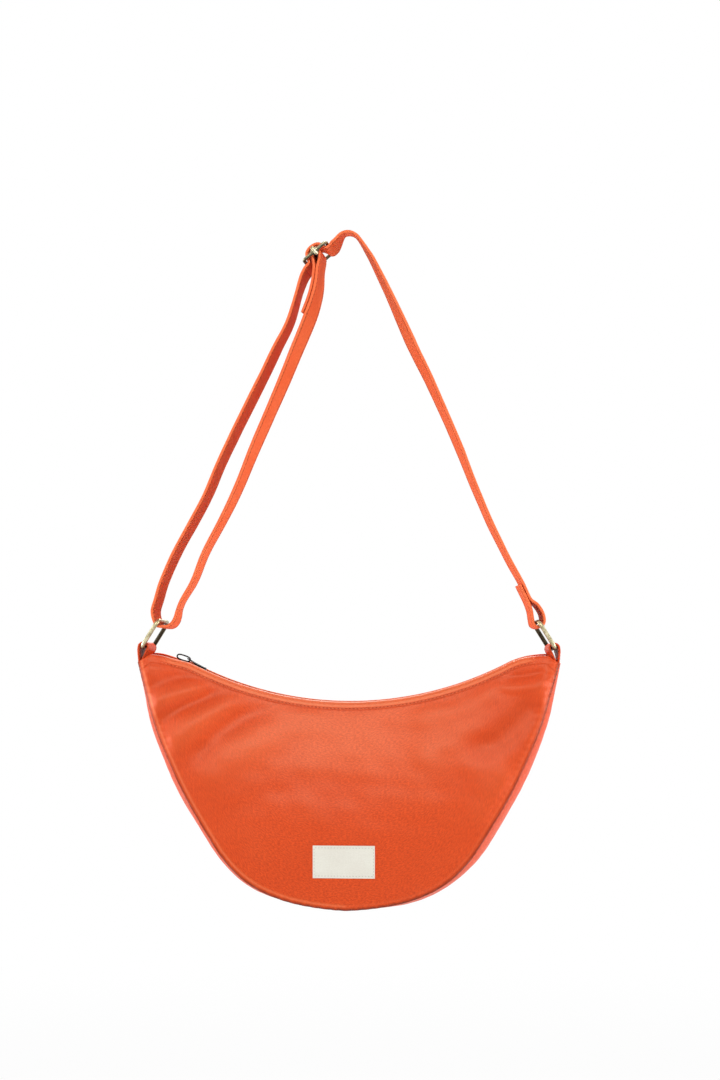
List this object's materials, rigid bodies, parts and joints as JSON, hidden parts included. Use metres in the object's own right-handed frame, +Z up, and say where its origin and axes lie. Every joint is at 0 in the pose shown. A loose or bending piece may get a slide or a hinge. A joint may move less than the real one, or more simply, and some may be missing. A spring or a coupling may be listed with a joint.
{
  "type": "half-moon shoulder bag",
  "caption": "Half-moon canvas shoulder bag with a curved zip along its top, a front label, folded end tabs, metal rings and an adjustable webbing strap.",
  "frame": {"origin": "hang point, in the middle of the flat underside of the strap's apex", "axes": "+Z up against gravity, +X towards the wearer's right end of the bag seen from the front, -Y towards the front panel with the label"},
  "size_m": [0.3472, 0.0767, 0.5547],
  "materials": {
    "canvas": "plain woven cotton canvas, matt",
    "webbing": "folded canvas strap with edge stitching, matt",
    "lining": "plain woven lining, matt",
    "zip_tape": "woven zip tape, matt",
    "zip_coil": "dark nylon coil, satin",
    "label": "off-white woven label, bare",
    "antique_brass": "antique brass, brushed and slightly worn",
    "gunmetal": "black painted die-cast metal, satin"
  },
  "bodies": {
    "strap": {"strap_top": "webbing", "strap_right_run": "webbing", "strap_feed": "webbing"},
    "strap_slider": {"slider_frame": "antique_brass", "slider_bar": "antique_brass", "strap_weave": "webbing", "strap_end_loop": "webbing", "strap_outer_run": "webbing", "strap_inner_run": "webbing"},
    "left_end": {"strap_left_turn": "webbing"},
    "right_end": {"strap_right_loop": "webbing"},
    "left_ring": {"left_ring": "antique_brass"},
    "right_ring": {"right_ring": "antique_brass"},
    "bag": {"front_panel": "canvas", "back_panel": "canvas", "gusset": "canvas", "front_lining": "lining", "back_lining": "lining", "gusset_lining": "lining", "zip_tape_front": "zip_tape", "zip_tape_back": "zip_tape", "zip_teeth_front": "zip_coil", "zip_teeth_back": "zip_coil", "zip_stop_left": "gunmetal", "zip_stop_right": "gunmetal", "zip_end_left": "canvas", "zip_end_right": "canvas", "label": "label", "left_tab": "canvas", "right_tab": "canvas"},
    "zip_slider": {"zip_slider_body": "gunmetal"},
    "zip_pull": {"zip_pull": "gunmetal"},
    "pull_ring": {"pull_ring": "gunmetal"}
  },
  "joints": [
    {"name": "strap_adjust", "type": "slide", "parent": "strap", "child": "strap_slider", "axis": [-0.3, 0, -0.9539], "range_m": [0, 0.2], "deforming": ["strap_feed"]},
    {"name": "left_end_slide", "type": "slide", "parent": "strap_slider", "child": "left_end", "axis": [0.4539, 0, 0.8911], "range_m": [0, 0.1325], "deforming": ["strap_outer_run", "strap_inner_run"]},
    {"name": "right_end_slide", "type": "slide", "parent": "strap", "child": "right_end", "axis": [0, 0, -1], "range_m": [0, 0.0732], "deforming": ["strap_right_run"]},
    {"name": "left_ring_hinge", "type": "hinge", "parent": "left_end", "child": "left_ring", "pos_m": [-0.15333, 0, -0.3178], "axis": [0, 1, 0], "range_deg": [-12, 12]},
    {"name": "bag_hinge", "type": "hinge", "parent": "left_ring", "child": "bag", "pos_m": [-0.1665, 0, -0.33905], "axis": [0, 1, 0], "range_deg": [-11.1, 11.1]},
    {"name": "right_ring_hinge", "type": "hinge", "parent": "bag", "child": "right_ring", "pos_m": [0.1665, 0, -0.33905], "axis": [0, 1, 0], "range_deg": [-11.1, 11.1]},
    {"name": "zip_travel", "type": "hinge", "parent": "bag", "child": "zip_slider", "pos_m": [0, 0, -0.10202], "axis": [0, -1, 0], "range_deg": [0, 49.98]},
    {"name": "pull_hinge", "type": "hinge", "parent": "zip_slider", "child": "zip_pull", "pos_m": [-0.11882, 0, -0.35689], "axis": [0, 1, 0], "range_deg": [0, 140]},
    {"name": "pull_ring_hinge", "type": "hinge", "parent": "zip_pull", "child": "pull_ring", "pos_m": [-0.13103, 0, -0.34984], "axis": [0, 1, 0], "range_deg": [0, 32]}
  ],
  "couplings": [
    {"joint": "left_end_slide", "follows": "strap_adjust", "ratio": 0.661},
    {"joint": "right_end_slide", "follows": "strap_adjust", "ratio": 0.365},
    {"joint": "bag_hinge", "follows": "left_ring_hinge", "ratio": -0.9207},
    {"joint": "right_ring_hinge", "follows": "left_ring_hinge", "ratio": 0.9207}
  ]
}
